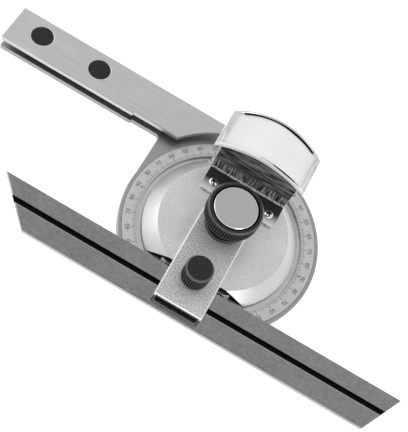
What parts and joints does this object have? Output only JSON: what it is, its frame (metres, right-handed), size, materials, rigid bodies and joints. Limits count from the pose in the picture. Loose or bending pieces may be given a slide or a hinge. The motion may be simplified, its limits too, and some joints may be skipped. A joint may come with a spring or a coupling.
{
  "type": "bevel protractor with magnifier",
  "caption": "Flat steel bevel protractor with a slotted stock, graduated round dial, turning turret with magnifier, lock knob, clamp arm and a long sliding bevelled blade.",
  "frame": {"origin": "on the pivot axis of the dial, at the flat underside", "axes": "+X along the stock and the blade, towards the blade's right end; +Y towards the stock's working edge; +Z out of the dial face"},
  "size_m": [0.1792, 0.0762, 0.0224],
  "materials": {
    "body_steel": "fine-ground satin steel",
    "stock_steel": "surface-ground satin steel",
    "dial_chrome": "matt satin chrome with engraved graduations",
    "turret_chrome": "satin chrome with a bright bevel",
    "arm_chrome": "textured satin chrome with bright edges",
    "blade_steel": "ground and hardened steel",
    "dark_steel": "dark oiled steel",
    "black_steel": "black oxide",
    "bronze": "machined bronze",
    "screw_steel": "polished",
    "bright_chrome": "mirror polished",
    "lens_glass": "clear polished",
    "black_knob": "black oxide, knurled",
    "cap_steel": "satin, turned"
  },
  "bodies": {
    "base": {"dial_body": "body_steel", "dial_ring": "dial_chrome", "stock_plate": "stock_steel", "stock_spacer": "dark_steel", "stock_rivets": "black_steel", "pivot_stud": "dark_steel", "back_cover": "body_steel"},
    "turret": {"turret_disc": "turret_chrome", "pivot_bush": "bronze", "clamp_arm": "arm_chrome", "arm_dowels": "dark_steel", "vernier_plate": "dial_chrome", "vernier_screws": "screw_steel", "magnifier_bracket": "bright_chrome", "bracket_screws": "screw_steel", "lens_frame": "bright_chrome", "magnifier_lens": "lens_glass", "lock_washer": "dark_steel", "clamp_washer": "dark_steel", "clamp_jaw": "dark_steel"},
    "blade": {"blade": "blade_steel"},
    "clamp_knob": {"clamp_screw": "dark_steel", "clamp_knob": "black_knob"},
    "lock_knob": {"lock_knob": "black_knob", "lock_knob_cap": "cap_steel"}
  },
  "joints": [
    {"name": "turret_turn", "type": "hinge", "parent": "base", "child": "turret", "pos_m": [0, 0, 0], "axis": [0, 0, 1], "range_deg": [-25, 165]},
    {"name": "blade_slide", "type": "slide", "parent": "turret", "child": "blade", "axis": [1, 0, 0], "range_m": [-0.06, 0.055]},
    {"name": "lock_knob_turn", "type": "hinge", "parent": "base", "child": "lock_knob", "pos_m": [0, 0, 0], "axis": [0, 0, 1], "range_deg": [0, 270]},
    {"name": "clamp_knob_turn", "type": "hinge", "parent": "turret", "child": "clamp_knob", "pos_m": [-0.0005, -0.023, 0], "axis": [0, 0, 1], "range_deg": [0, 270]}
  ]
}
